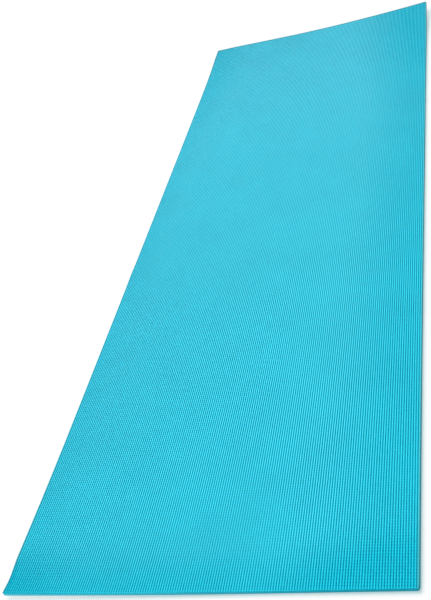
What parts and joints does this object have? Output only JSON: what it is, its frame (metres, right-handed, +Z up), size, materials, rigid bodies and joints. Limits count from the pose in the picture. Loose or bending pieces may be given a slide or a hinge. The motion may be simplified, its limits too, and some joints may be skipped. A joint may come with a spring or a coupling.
{
  "type": "exercise mat",
  "caption": "Rectangular exercise mat lying flat, blue ribbed foam laminated over an inner net, with slightly curled end corners.",
  "frame": {"origin": "centre of the mat's outline, on the floor that the mat lies on", "axes": "+Y along the mat's length towards the end whose corners stand up most, +X to the right across its width, +Z up"},
  "size_m": [0.61, 1.829, 0.0201],
  "materials": {
    "foam_top": "matte",
    "foam_underside": "matte",
    "net_yarn": "matte"
  },
  "bodies": {
    "root": {"bottom_foam_layer": "foam_underside", "reinforcement_net": "net_yarn", "top_foam_layer": "foam_top"}
  },
  "joints": []
}
